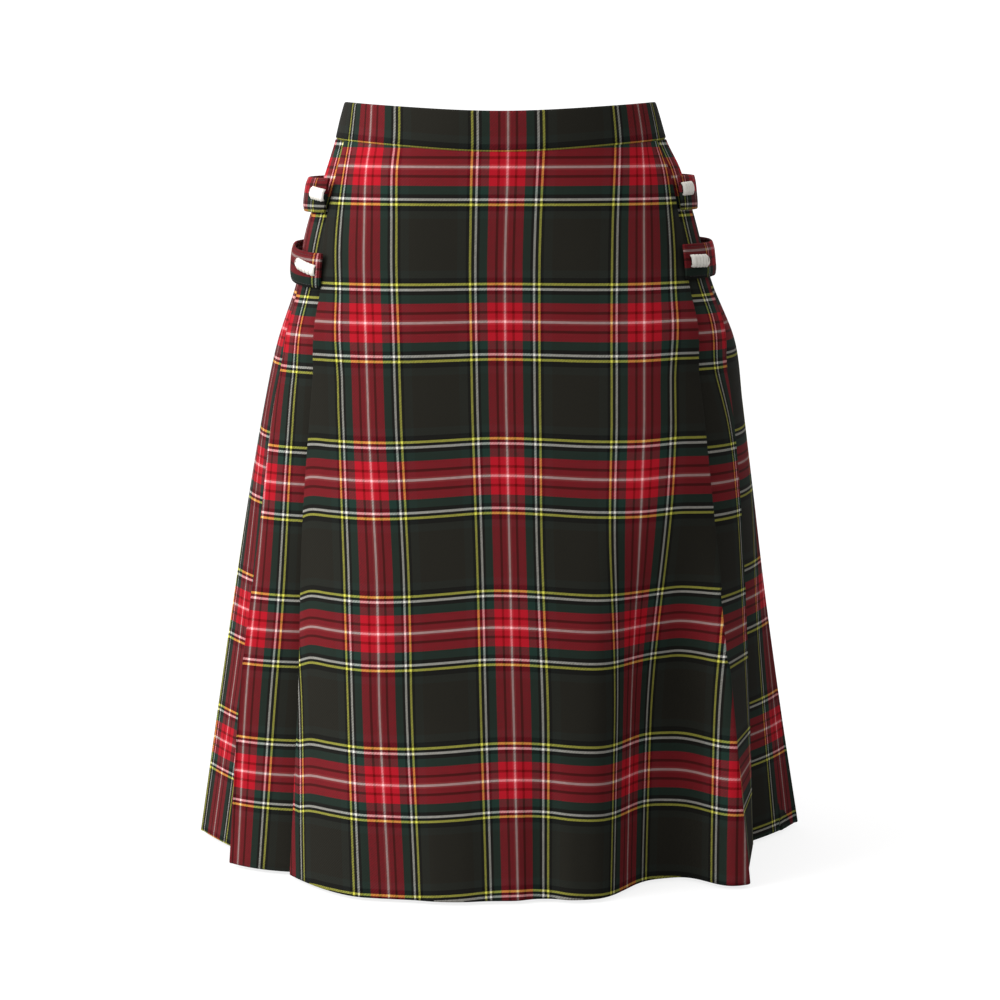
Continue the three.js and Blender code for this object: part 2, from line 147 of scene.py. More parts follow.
def sew(name, points, stripes, thick, turned=None):
    """A closed piece of cloth about a grid of points, with rows down it and columns to the right.
    Each face stands half the thickness off, and the top and bottom edges are rounded. `turned`
    is how much thicker each row is on the wrong side, as where a hem is turned up."""
    rows, cols = points.shape[:2]
    right = unit(np.diff(points, axis=1))
    right = unit(np.concatenate([right[:, :1], right[:, 1:] + right[:, :-1], right[:, -1:]], axis=1))
    down = np.gradient(points, axis=0)
    out = unit(np.cross(unit(down), right))
    down = unit(np.cross(right, out))
    half = thick / 2
    inside = half + (np.zeros(rows) if turned is None else turned)[:, None, None]
    outer = points + out * half
    inner = points - out * inside
    rings = [outer]
    cloth = [stripes]
    for row, way, face in ((-1, 1, 1), (0, -1, -1)):
        middle = (outer[row] + inner[row]) / 2
        r = np.linalg.norm(outer[row] - inner[row], axis=-1, keepdims=True) / 2
        arc = [middle + r * (math.cos(a) * out[row] * face + math.sin(a) * down[row] * way)
               for a in (math.pi / 4, math.pi / 2, 3 * math.pi / 4)]
        rings.append(np.array(arc))
        cloth.append(np.repeat(stripes[row][None], 3, axis=0))
        if row == -1:
            rings.append(inner[::-1])
            cloth.append(stripes[::-1])
    verts = np.concatenate(rings)
    cloth = np.concatenate(cloth)
    n = len(verts)
    i, j = np.meshgrid(np.arange(n), np.arange(cols - 1), indexing="ij")
    k = (i + 1) % n
    faces = np.stack([i * cols + j, k * cols + j, k * cols + j + 1, i * cols + j + 1], -1)
    faces = faces.reshape(-1, 4).tolist()
    for col, turn in ((0, -1), (cols - 1, 1)):
        for row in range(rows - 1):
            back = 2 * rows + 2 - row
            quad = [row, row + 1, back - 1, back]
            faces.append([q * cols + col for q in quad[::turn]][::-1])
        foot = [rows - 1, rows, rows + 1, rows + 2, rows + 3]
        head = [n - 4, n - 3, n - 2, n - 1, 0]
        for edge in (foot, head):
            faces.append([q * cols + col for q in edge[::turn]][::-1])
    mesh = bpy.data.meshes.new(name)
    mesh.from_pydata((verts.reshape(-1, 3) * 0.001).tolist(), [], faces)
    layer = mesh.uv_layers.new(name="cloth")
    spots = np.empty(len(mesh.loops), dtype=np.int32)
    mesh.loops.foreach_get("vertex_index", spots)
    layer.data.foreach_set("uv", (cloth.reshape(-1, 2)[spots] * 0.001).ravel())
    mesh.shade_smooth()
    mesh.set_sharp_from_angle(angle=math.radians(52))
    mesh.validate()
    piece = bpy.data.objects.new(name, mesh)
    bpy.context.scene.collection.objects.link(piece)
    return piece


# Yarns of the check, as the light each gives back, and the order in which they lie from the white
# centre of a red band out to the middle of the black ground, in millimetres across warp and weft.
YARNS = {
    "white": (0.74, 0.72, 0.66),
    "blush": (0.95, 0.56, 0.55),
    "guard": (0.50, 0.035, 0.045),
    "red": (0.40, 0.0085, 0.018),
    "maroon": (0.12, 0.003, 0.004),
    "green": (0.013, 0.032, 0.024),
    "ink": (0.0050, 0.0052, 0.0050),
    "yellow": (0.66, 0.64, 0.08),
    "bottle": (0.0170, 0.0200, 0.0165),
    "black": (0.0160, 0.0150, 0.0115),
}
WARP_ORDER = [
    (0, "blush"), (0.65, "guard"), (1.9, "red"), (5.3, "maroon"), (7.2, "red"), (13.0, "green"),
    (18.8, "ink"), (21.0, "white"), (22.6, "ink"), (24.9, "yellow"), (26.6, "ink"),
    (28.8, "bottle"), (35.2, "black"),
]
WEFT_ORDER = [
    (0, "blush"), (0.75, "guard"), (2.1, "red"), (6.2, "maroon"), (8.2, "red"), (14.3, "green"),
    (20.8, "ink"), (23.9, "white"), (25.6, "ink"), (27.8, "yellow"), (29.6, "ink"),
    (33.6, "bottle"), (39.3, "black"),
]
YARN_PITCH = 0.55
# How two yarns mix to the eye where they cross, how far the rib and the loose fibres bring the warp
# or the weft to the face, and how uneven the dye is.
CROSSING = 2.4
WARP_ON_FACE = 0.47
RIB_SHOWS = 0.10
FIBRES_SHOW = 0.35
UNEVEN_DYE = 0.22


def tartan(name, nap, painted_shade_factor):
    """Wool twill in two sets of coloured yarn, with a soft diagonal rib and a faint nap. The last
    argument scales the whole colour: below 1 it paints shade on cloth that lies in shadow."""
    mat = bpy.data.materials.new(name)
    mat.use_nodes = True
    nodes, links = mat.node_tree.nodes, mat.node_tree.links
    shader = nodes["Principled BSDF"]
    shader.inputs["Roughness"].default_value = 0.88
    shader.inputs["Specular IOR Level"].default_value = 0.06
    shader.inputs["Sheen Weight"].default_value = nap
    shader.inputs["Sheen Roughness"].default_value = 0.45
    shader.inputs["Sheen Tint"].default_value = (0.9, 0.88, 0.85, 1)
    place = nodes.new("ShaderNodeUVMap")
    place.uv_map = "cloth"
    split = nodes.new("ShaderNodeSeparateXYZ")
    links.new(place.outputs["UV"], split.inputs[0])

    def calc(kind, a, b=None, c=None):
        node = nodes.new("ShaderNodeMath")
        node.operation = kind
        for slot, value in enumerate((a, b, c)):
            if isinstance(value, (int, float)):
                node.inputs[slot].default_value = value
            elif value is not None:
                links.new(value, node.inputs[slot])
        return node.outputs[0]

    def yarns(across, repeat, order):
        fold = calc("PINGPONG", across, repeat / 2000)
        share = calc("DIVIDE", fold, repeat / 2000)
        ramp = nodes.new("ShaderNodeValToRGB")
        ramp.color_ramp.interpolation = "CONSTANT"
        stops = ramp.color_ramp.elements
        stops.remove(stops[1])
        for at, yarn in order:
            stop = stops[0] if at == 0 else stops.new(at / (repeat / 2))
            stop.position = at / (repeat / 2)
            stop.color = (*[v ** (1 / CROSSING) for v in YARNS[yarn]], 1)
        links.new(share, ramp.inputs[0])
        return ramp.outputs[0]

    warp = yarns(split.outputs[0], WARP_REPEAT, WARP_ORDER)
    weft = yarns(split.outputs[1], WEFT_REPEAT, WEFT_ORDER)
    diagonal = calc("ADD", split.outputs[0], split.outputs[1])
    rib = calc("SINE", calc("MULTIPLY", diagonal, 2 * math.pi / (4 * YARN_PITCH * 0.001)))
    fuzz = nodes.new("ShaderNodeTexNoise")
    fuzz.inputs["Scale"].default_value = 900
    fuzz.inputs["Detail"].default_value = 2
    where = nodes.new("ShaderNodeTexCoord")
    links.new(where.outputs["Object"], fuzz.inputs["Vector"])
    over = calc("MULTIPLY_ADD", rib, RIB_SHOWS, WARP_ON_FACE)
    over = calc("MULTIPLY_ADD", calc("SUBTRACT", fuzz.outputs[0], 0.5), FIBRES_SHOW, over)
    blend = nodes.new("ShaderNodeMix")
    blend.data_type = "RGBA"
    links.new(over, blend.inputs[0])
    links.new(weft, blend.inputs[6])
    links.new(warp, blend.inputs[7])
    crossed = nodes.new("ShaderNodeGamma")
    crossed.inputs["Gamma"].default_value = CROSSING
    links.new(blend.outputs[2], crossed.inputs["Color"])
    cloud = nodes.new("ShaderNodeTexNoise")
    cloud.inputs["Scale"].default_value = 14
    cloud.inputs["Detail"].default_value = 3
    links.new(where.outputs["Object"], cloud.inputs["Vector"])
    # Uneven dye, times the painted shade factor that darkens a whole piece standing in shadow.
    dye_and_painted_shade = calc("MULTIPLY_ADD", calc("SUBTRACT", cloud.outputs[0], 0.5), UNEVEN_DYE, painted_shade_factor)
    tone = nodes.new("ShaderNodeVectorMath")
    tone.operation = "SCALE"
    links.new(crossed.outputs[0], tone.inputs[0])
    links.new(dye_and_painted_shade, tone.inputs["Scale"])
    links.new(tone.outputs[0], shader.inputs["Base Color"])
    raised = calc("MULTIPLY_ADD", fuzz.outputs[0], 0.8, rib)
    bump = nodes.new("ShaderNodeBump")
    bump.inputs["Strength"].default_value = 0.22
    bump.inputs["Distance"].default_value = 0.00012
    links.new(raised, bump.inputs["Height"])
    links.new(bump.outputs[0], shader.inputs["Normal"])
    return mat


skirt_cloth = tartan("skirt cloth", 0.015, 1.0)

BAND_ROWS = 14
BAND_STEPS = 150
# Where in the check the band's seam falls.
SEAM_YARN = -27.9
# Inside the back half the lower edge is thicker, over the turned-up ends of the pleats.
PLEAT_ENDS = [0.8, 3.4, 4.8, 2.4]


def band_half(name, start, end):
    """One half of the waistband, between two angles round from the front."""
    angle = np.linspace(start, end, BAND_STEPS + 1)
    points = np.empty((BAND_ROWS + 1, BAND_STEPS + 1, 3))
    stripes = np.empty((BAND_ROWS + 1, BAND_STEPS + 1, 2))
    top, seam = dipped(BAND_TOP, angle), dipped(BAND_SEAM, angle)
    for i in range(BAND_ROWS + 1):
        share = i / BAND_ROWS
        z = mix(top, seam, share)
        z = np.where(i == 0, z - BAND_WALL / 2, np.where(i == BAND_ROWS, z + BAND_WALL / 2, z))
        puff = BAND_PUFF * math.sin(math.pi * share) - SEAM_NIP * (i == BAND_ROWS)
        plan = around(angle, z, CLOTH / 2 - BAND_WALL / 2 + puff)
        points[i, :, :2] = plan
        points[i, :, 2] = z
        run = along(plan)
        if math.cos((start + end) / 2) > 0:
            level = float(np.mean(z))
            at = band_centres(plan[:, 0], run, level)
            stripes[i, :, 0] = np.interp(run, at, [-WARP_REPEAT, 0, WARP_REPEAT])
            stripes[i, :, 0] += np.where(run < at[0], run - at[0], 0)
            stripes[i, :, 0] += np.where(run > at[2], run - at[2], 0)
        else:
            stripes[i, :, 0] = run - run[-1] / 2
        stripes[i, :, 1] = SEAM_YARN - (z - seam)
    behind = math.cos((start + end) / 2) < 0
    ridge = np.array([0.0] * (BAND_ROWS + 1 - len(PLEAT_ENDS)) + PLEAT_ENDS) * behind
    piece = sew(name + "_cloth", points, stripes, BAND_WALL, ridge)
    piece.data.materials.append(skirt_cloth)
    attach(piece, "root")
    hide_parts(name)
    return piece


HALF_GAP = SEAM_GAP / 2 / OUTLINE["left"][0]
QUARTER = math.pi / 2
band_front = band_half("waistband_front", -QUARTER + HALF_GAP, QUARTER - HALF_GAP)
band_back = band_half("waistband_back", QUARTER + HALF_GAP, 3 * QUARTER - HALF_GAP)

# ---- Apron --------------------------------------------------------------------------------------
# One plain panel of the tartan across the front. Both side edges are folded under and pressed, and
# joined to the pleats behind. It rolls back at the edges and falls in soft folds near the hem.

HEM_Z = -596.0
PANEL_ROWS = 104
CLOSER_AT_WAIST = 1.15
PRESSED_BEND = 1.05
HEM_BEND = 1.9
STITCHED_TO_Z = -150
OPEN_BY_Z = -470
FREE_WITHIN = 60
FULL_LAP = 0.05
OUT_LATE = 2.5
PRESSED_UNDER = 0.52
PRESSED_DEEP = 7.2
LAP_OPENS_FIRST = 1.7
HEM_TURN = 28
HEM_EXTRA = 0.9

# The two edges of the apron and the first fold behind each, in plan, at a number of heights.
EDGES = {
    "z": [-27, -90, -148, -235, -331, -452, -596],
    "apron_lx": [-126, -136.5, -140, -147.5, -154.5, -158.5, -165.5],
    "apron_ly": [-42, -64, -79, -88, -94, -97, -110],
    "fold_lx": [-129.3, -150.8, -160, -177.5, -189, -204.5, -215],
    "fold_ly": [-12, -36, -45, -58, -66, -74, -74],
    "fold_rx": [131, 155, 168, 182.5, 191.5, 198.5, 205.5],
    "fold_ry": [-12, -34, -43, -50, -48, -38, -16],
    "apron_rx": [127.5, 142, 147.2, 158, 168, 180, 194],
    "apron_ry": [-42, -62, -76, -88, -102, -120, -140],
}

# Knife pleats of one side, from the apron round to the middle of the back: degrees round from the
# front at waist, hip and hem, how far the edge stands out at the hem, and at the hem the share of
# the pleat that is folded under and how deep the fold opens. The first two follow EDGES, and the
# first faces are drawn straight between their folds by the share "taut_hem".
LEFT_PLEATS = {
    "waist": [0, 0, 99, 113, 127.5, 142, 156.5, 171],
    "hip": [0, 0, 90, 106, 122, 138.5, 154.5, 171],
    "hem": [0, 0, 98, 113, 127, 141, 154.5, 168.5],
    "out_hem": [0, 0, 3, 0, 4, -2, 3, 0],
    "under_hem": [0.33, 0.5, 0.48, 0.5, 0.44, 0.5, 0.46, 0.5],
    "deep_hem": [17, 40, 27, 22, 28, 23, 27, 22],
    "taut_hem": [0, 0.7, 0, 0, 0, 0, 0, 0],
}
RIGHT_PLEATS = {
    "waist": [0, 0, 99, 113, 127.5, 142, 156.5, 171],
    "hip": [0, 0, 91, 107, 123, 139, 155, 171],
    "hem": [0, 0, 104.5, 118, 131, 144, 157, 168.5],
    "out_hem": [0, 0, 9, 0, 3, -2, 2, 0],
    "under_hem": [-0.08, 0.2, 0.46, 0.5, 0.45, 0.5, 0.46, 0.5],
    "deep_hem": [14, 16, 24, 27, 23, 28, 22, 25],
    "taut_hem": [1, 0.5, 0, 0, 0, 0, 0, 0],
}
PLEAT_COUNT = 8

# Soft folds of the apron: where each stands across the front, its half width and depth, and the
# heights between which it grows. The first is large, the others are slight waves of the cloth.
APRON_FOLDS = [
    {"x": 129, "half": 37, "deep": 50, "start": -280, "full": -480},
    {"x": 33, "half": 15, "deep": 6, "start": -420, "full": -596},
    {"x": -38, "half": 22, "deep": -4, "start": -400, "full": -596},
]
APRON_ROLL = 62
ROLL_CURVE = 1.7
FOLD_CURVE = 3

# How much lower the weft hangs than a level line: across the front, at the thigh and at the hem.
# It grows from the waist to the thigh and changes again from there to the hem.
SAG_FROM_Z, SAG_FULL_Z = -50, -380
THIGH_Z, LOW_Z = -400, -530
WEFT_SAG = {
    "x": [188, 172, 151, 137, 124, 108, 86, 66, 32, 11, -12, -44, -67, -90, -118, -130, -146, -156],
    "thigh": [7.5, 6.6, 4.6, 3.6, 4.4, 5.4, 5.2, 4.4, 1.8, 0.6, 0.6, 3.4, 5.4, 6.6, 7, 7, 7.6, 12.5],
    "hem": [14, 13, 12, 11, 9.8, 8.6, 8.6, 7.6, 4.6, 3.4, 4.4, 6.9, 8.6, 8.7, 9, 9.4, 11, 15],
}


def opened(z):
    """How far the pleats have opened: 0 where they are stitched down, 1 near the hem."""
    return float(ease((STITCHED_TO_Z - z) / (STITCHED_TO_Z - OPEN_BY_Z)))


def bend(z):
    """Radius of the folds: tight where they are pressed, softer near the hem."""
    return mix(PRESSED_BEND, HEM_BEND, opened(z))


def pleat_edge(side, k, z):
    """Angle of a fold's edge and how far it stands off the plain outline."""
    if k < 2:
        key = ("apron_", "fold_")[k] + ("l" if side < 0 else "r")
        x, y = float(column(EDGES, key + "x", z)), float(column(EDGES, key + "y", z))
        angle = math.atan2(abs(x), -y)
        free = float(ease((STITCHED_TO_Z - z) / FREE_WITHIN))
        return angle, free * (math.hypot(x, y) - float(reach(side * angle, z)))
    if k == PLEAT_COUNT:
        return math.pi, 0.0
    pleats = LEFT_PLEATS if side < 0 else RIGHT_PLEATS
    fallen = min(1.0, max(0.0, (STITCHED_TO_Z - z) / (STITCHED_TO_Z - HEM_Z)))
    if z > STITCHED_TO_Z:
        high = float(ease((z - STITCHED_TO_Z) / (BAND_SEAM["side"] - STITCHED_TO_Z)))
        degrees = mix(pleats["hip"][k], pleats["waist"][k], high)
    else:
        degrees = mix(pleats["hip"][k], pleats["hem"][k], fallen)
    return math.radians(degrees), pleats["out_hem"][k] * fallen ** OUT_LATE


def inner_fold(side, k, z):
    """Where the cloth under edge k turns back: angle, stand-off, depth below the edge, and lap."""
    pleats = LEFT_PLEATS if side < 0 else RIGHT_PLEATS
    angle, out = pleat_edge(side, k, z)
    pitch = pleat_edge(side, k + 1, z)[0] - angle
    if k > 0:
        pitch = min(pitch, angle - pleat_edge(side, k - 1, z)[0])
    loose = float(ease(LAP_OPENS_FIRST * opened(z)))
    folded = mix(PRESSED_UNDER, pleats["under_hem"][k], loose)
    deep = mix(PRESSED_DEEP, pleats["deep_hem"][k], opened(z))
    lapped = float(ease(pitch * folded / FULL_LAP))
    return angle - pitch * folded, out - deep, deep, lapped


TURN = np.radians(np.linspace(0, 180, 9))
TURN_PAST = 0.3


def edge_turn(side, k, z):
    """The turn of the cloth round edge k, from its face to the part folded under."""
    angle, out = pleat_edge(side, k, z)
    r = bend(z)
    per_mm = 1 / float(reach(side * angle, z))
    return angle + (np.sin(TURN) - 1) * r * per_mm, out - r + np.cos(TURN) * r


def inner_turn(side, k, z):
    """The turn of the cloth round the inner fold under edge k, out to the next face."""
    angle, out, _, lapped = inner_fold(side, k, z)
    r = bend(z)
    per_mm = 1 / float(reach(side * angle, z))
    turn = mix(math.pi / 2 + TURN / 2, TURN, lapped)
    return angle + (1 - np.sin(turn)) * r * per_mm, out + r + np.cos(turn) * r


def folded_under(side, k, z, share):
    """Part folded under edge k: share 0 at the edge, 1 at the inner fold."""
    a, o = edge_turn(side, k, z)
    b, p = inner_turn(side, k, z)
    return mix(a[-1], b[0], share), mix(o[-1], p[0], share)


# Share of the part folded under at which the apron is joined to the pleats.
APRON_SEAM = 0.82


def seam_shift(side, z):
    """Half the seam's gap, as a share of the part folded under."""
    a, o = folded_under(side, 0, z, 0)
    b, p = folded_under(side, 0, z, 1)
    run = math.hypot((b - a) * float(reach(side * a, z)), p - o)
    return SEAM_GAP / 2 / max(run, 1)


def front_line(x, z):
    """The plain outline straight ahead of x."""
    wide = np.where(x < 0, column(OUTLINE, "left", z), column(OUTLINE, "right", z))
    power = float(column(OUTLINE, "square", z))
    share = np.minimum(1, np.abs(x) / wide) ** power
    return -float(column(OUTLINE, "front", z)) * (1 - share) ** (1 / power)


def apron_face(x, z, left, right):
    """The front in plan: the plain outline with its rolled edges and soft folds."""
    y = front_line(x, z)
    from_left = np.clip(1 - (x - left[0]) / APRON_ROLL, 0, None)
    from_right = np.clip(1 - (right[0] - x) / APRON_ROLL, 0, None)
    y = y + (left[1] - front_line(left[0], z)) * np.minimum(from_left, 1) ** ROLL_CURVE
    y = y + (right[1] - front_line(right[0], z)) * np.minimum(from_right, 1) ** ROLL_CURVE
    for f in APRON_FOLDS:
        grown = float(ease((f["start"] - z) / (f["start"] - f["full"])))
        y = y + f["deep"] * grown * np.exp(-np.abs((x - f["x"]) / f["half"]) ** FOLD_CURVE)
    return np.stack([x, y], axis=-1)


def apron_turn(end, before, side, z):
    """Turn of the cloth at an edge of the apron, and the part folded under as far as the seam."""
    r = bend(z)
    t = unit(end - before)
    n = np.array([-side * t[1], side * t[0]])
    seam = folded_under(side, 0, z, APRON_SEAM - seam_shift(side, z))
    half_way = folded_under(side, 0, z, 0.5)
    goal = around(side * half_way[0], z, half_way[1])
    w = goal - end - n * r
    sweep = min(math.pi, math.atan2(float(w @ n), float(w @ t)) + TURN_PAST)
    arc = [end + t * r * math.sin(a) + n * r * (1 - math.cos(a))
           for a in np.linspace(0, sweep, 9)[1:]]
    last = around(side * seam[0], z, seam[1])
    tail = [mix(arc[-1], goal, 0.5), goal, mix(goal, last, 0.5), last]
    return np.array(arc + tail)


APRON_STEPS = 170
CLOSER_AT_EDGES = 0.55


def apron_row(z):
    """The apron in plan at height z, from seam to seam, and where its face starts and ends."""
    left = around(-pleat_edge(-1, 0, z)[0], z, pleat_edge(-1, 0, z)[1])
    right = around(pleat_edge(1, 0, z)[0], z, pleat_edge(1, 0, z)[1])
    even = np.linspace(0, 1, APRON_STEPS + 1)
    share = mix(even, 0.5 - 0.5 * np.cos(math.pi * even), CLOSER_AT_EDGES)
    x = mix(left[0] + bend(z), right[0] - bend(z), share)
    face = apron_face(x, z, left, right)
    on_left = apron_turn(face[0], face[1], -1, z)[::-1]
    on_right = apron_turn(face[-1], face[-2], 1, z)
    return np.concatenate([on_left, face, on_right]), len(on_left)


def droop(x, z):
    """How much lower than a level line the weft lies on the apron."""
    x = np.clip(x, WEFT_SAG["x"][-1], WEFT_SAG["x"][0])
    thigh, hem = (column(WEFT_SAG, key, x, by="x") for key in ("thigh", "hem"))
    sag = mix(thigh, hem, ease((THIGH_Z - z) / (THIGH_Z - LOW_Z)))
    return sag * ease((SAG_FROM_Z - z) / (SAG_FROM_Z - SAG_FULL_Z))


def hem_turn(levels):
    """Extra thickness on the wrong side where the hem is turned up, row by row."""
    return HEM_EXTRA * (levels < HEM_Z + HEM_TURN)


def panel_levels():
    """Flat heights of a panel's rows, closer near the waist, with a step where the hem is turned."""
    share = np.linspace(0, 1, PANEL_ROWS + 1) ** CLOSER_AT_WAIST
    levels = mix(BAND_SEAM["side"], HEM_Z, share)
    step = [HEM_Z + HEM_TURN + 0.4, HEM_Z + HEM_TURN - 0.4]
    return np.sort(np.concatenate([levels, step]))[::-1]


def hang(plan, level):
    """Each point keeps its place round the skirt while its row dips with the seam above it."""
    share = (level - BAND_SEAM["side"]) / (HEM_Z - BAND_SEAM["side"])
    seam = dipped(BAND_SEAM, np.arctan2(plan[:, 0], -plan[:, 1])) - SEAM_GAP
    return np.column_stack([plan, mix(seam, HEM_Z, share)])


levels = panel_levels()
points, stripes = [], []
for level in levels:
    plan, first = apron_row(level)
    row = hang(plan, level)
    run = along(plan)
    last = first + APRON_STEPS
    at = band_centres(plan[first:last + 1, 0], run[first:last + 1], float(np.mean(row[:, 2])))
    anchors = [run[first], at[0], at[1], at[2], run[last]]
    left_edge = -WARP_REPEAT - float(column(RED_BANDS, "beyond_left", level))
    right_edge = WARP_REPEAT + float(column(RED_BANDS, "beyond_right", level))
    u = np.interp(run, anchors, [left_edge, -WARP_REPEAT, 0, WARP_REPEAT, right_edge])
    u += np.where(run < anchors[0], run - anchors[0], 0)
    u += np.where(run > anchors[4], run - anchors[4], 0)
    v = weft_at(row[:, 2]) - droop(plan[:, 0], row[:, 2])
    points.append(row)
    stripes.append(np.column_stack([u, v]))
apron = sew("apron", np.array(points), np.array(stripes), CLOTH, hem_turn(levels))
apron.data.materials.append(skirt_cloth)
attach(apron, "root")
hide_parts("front_panel")

# ---- Pleats -------------------------------------------------------------------------------------
# Each side is one length of the tartan laid in knife pleats whose edges face the back. They are
# pressed and stitched flat to the hip, and swing open below it. The two meet at the middle back.

# Where the check falls on the pleats that show most: cloth from the fold's edge to the nearest
# white centre, and how much lower the weft lies than on a level line.
FIRST_PLEATS = {
    "z": [-27, -150, -200, -250, -300, -390, -480, -596],
    "left_1": [2, 2, 2, -1, -3, -7, -9, -12],
    "left_2": [-26, -26, -26, -26, -27, -29, -30, -30],
    "right_1": [4, 3, 3, 12.5, 15.5, 14.5, 15, 15],
    "right_2": [24, 24, 24, 22, 14, -6, -16, -24],
    "sag_left_1": [8, 13.3, 14.3, 13.3, 13.5, 15, 17, 19],
    "sag_left_2": [8, 12, 11, 6, 6.5, 9.5, 11.5, 11],
    "sag_right_1": [8, 12, 11.5, 12.5, 13.4, 16, 18.5, 25],
    "sag_right_2": [8, 8, 5.5, 4.8, 2.5, 0.5, 2.5, 0],
}
# The same for the pleats further round, by number.
HIDDEN_STRIPE = [0, 0, 0, -14, 9, -6, 12, -10]
HIDDEN_SAG = [0, 0, 0, 3, 7, 4, 8, 5]
FACE_SHARE = np.concatenate([[0.03], np.linspace(0.1, 0.95, 15)])
FACE_HOLLOW = 0.62


def face_row(side, k, z):
    """The face from the inner fold under edge k out to edge k + 1: angles and stand-off."""
    angle, out, deep, lapped = inner_fold(side, k, z)
    here, here_out = pleat_edge(side, k, z)
    there, there_out = pleat_edge(side, k + 1, z)
    turned = angle + bend(z) / float(reach(side * angle, z))
    first = max(here, turned + 0.6 * (turned - angle))
    low = mix(1, FACE_HOLLOW, lapped) * deep
    a = np.concatenate([[mix(turned, first, 0.5)], mix(first, there, FACE_SHARE)])
    sunk = low * (1 - FACE_SHARE) ** 2
    o = np.concatenate([[mix(out, here_out - low, 0.5)], mix(here_out, there_out, FACE_SHARE) - sunk])
    taut = (LEFT_PLEATS if side < 0 else RIGHT_PLEATS)["taut_hem"][k] * opened(z)
    plan = around(side * a, z, o)
    way = around(side * there, z, there_out) - plan[0]
    straight = plan[0] + way * ((plan - plan[0]) @ way / (way @ way))[:, None]
    plan = mix(plan, straight, taut)
    a = np.arctan2(np.abs(plan[:, 0]), -plan[:, 1])
    return a, np.hypot(plan[:, 0], plan[:, 1]) - reach(side * a, z)


def pleat_row(side, z):
    """One side's pleats in plan at height z, and the places of the folds along the row."""
    seam = folded_under(side, 0, z, APRON_SEAM + seam_shift(side, z))
    a, o = [[seam[0]]], [[seam[1]]]
    edges, inners = [], []
    for k in range(PLEAT_COUNT):
        turn = inner_turn(side, k, z)
        inners.append(sum(len(x) for x in a) + len(TURN) // 2)
        a.append(turn[0])
        o.append(turn[1])
        if k < PLEAT_COUNT - 1:
            face = face_row(side, k, z)
            edge = edge_turn(side, k + 1, z)
            under = [folded_under(side, k + 1, z, s) for s in (0.25, 0.5, 0.75)]
            a += [face[0], edge[0], [u[0] for u in under]]
            o += [face[1], edge[1], [u[1] for u in under]]
            edges.append(sum(len(x) for x in a) - 3 - len(TURN) // 2 - 1)
    angle, out, deep, _ = inner_fold(side, PLEAT_COUNT - 1, z)
    gap = SEAM_GAP / 2 / float(reach(math.pi, z))
    a.append([pleat_edge(side, PLEAT_COUNT - 1, z)[0], math.pi - gap])
    o.append([out + 0.3 * deep, out + 0.38 * deep])
    angle, out = np.concatenate(a), np.concatenate(o)
    return around(side * angle, z, out), edges, inners


def stripe_at(side, k, level):
    """Cloth from edge k to the nearest white centre."""
    if k < 3:
        return float(column(FIRST_PLEATS, ("left_", "right_")[side > 0] + str(k), level))
    return HIDDEN_STRIPE[k]


def sag_at(side, k, level):
    """How much lower than a level line the weft lies on the pleat with edge k."""
    if k < 3:
        return float(column(FIRST_PLEATS, ("sag_left_", "sag_right_")[side > 0] + str(k), level))
    return HIDDEN_SAG[k]


def lay_stripes(side, plan, edges, inners, level, turns):
    """Cloth coordinates of a row: parallel to each fold on the faces, eased in the hidden laps."""
    run = along(plan)
    at = [run[inners[0]]]
    u = [stripe_at(side, 1, level) + run[edges[0]] - run[inners[0]]]
    for n, e in enumerate(edges):
        k = n + 1
        shift = turns[n]
        at.append(run[e])
        u.append(stripe_at(side, k, level) + shift)
        after = inners[n + 1]
        at.append(run[after])
        if n + 1 < len(edges):
            u.append(stripe_at(side, k + 1, level) + turns[n + 1] + run[edges[n + 1]] - run[after])
        else:
            u.append(u[-1] - (run[after] - run[e]))
    u = np.array(u)
    cloth = np.interp(run, at, u)
    cloth += np.where(run < at[0], at[0] - run, 0) - np.where(run > at[-1], run - at[-1], 0)
    sag = np.empty(len(run))
    marks = [0] + inners[1:] + [len(run)]
    for n in range(len(marks) - 1):
        sag[marks[n]:marks[n + 1]] = sag_at(side, min(n + 1, len(edges)), level)
    return cloth, sag


def pleats(name, node, side):
    """All of one side's pleats. Each keeps the stripe nearest its edge from waist to hem."""
    levels = panel_levels()
    middle = float(np.median(levels))
    plan, edges, inners = pleat_row(side, middle)
    run = along(plan)
    turns = [0.0]
    for n in range(len(edges) - 1):
        length = run[edges[n + 1]] - run[edges[n]]
        want = stripe_at(side, n + 1, middle) + turns[-1] - length - stripe_at(side, n + 2, middle)
        turns.append(round(want / WARP_REPEAT) * WARP_REPEAT)
    points, stripes = [], []
    for level in levels:
        plan, edges, inners = pleat_row(side, level)
        row = hang(plan, level)
        u, sag = lay_stripes(side, plan, edges, inners, level, turns)
        v = weft_at(row[:, 2]) - sag
        points.append(row if side > 0 else row[::-1])
        stripes.append(np.column_stack([u, v]) if side > 0 else np.column_stack([u, v])[::-1])
    piece = sew(name, np.array(points), np.array(stripes), CLOTH, hem_turn(levels))
    piece.data.materials.append(skirt_cloth)
    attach(piece, "root")
    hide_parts(node)
    return piece


pleats_left = pleats("left_pleats", "pleats_left", -1)
pleats_right = pleats("right_pleats", "pleats_right", 1)

# ---- Straps -------------------------------------------------------------------------------------
# Two on each hip: the tartan doubled, turned in and stitched along both edges. Each comes out from
# under the apron's edge, stands off the first pleats, and is sewn down behind them.

STRAP_WALL = 2.4
STRAP_WIDTH = 27.0
STRAP_STEPS = 60
STRAP_ROWS = 16
STRAP_LIFT = 0.6
NEAR_PART = 0.55
EDGE_FALL = 0.5
FALL_WITH_BOW = 0.42
EDGE_CURVE = 3.5

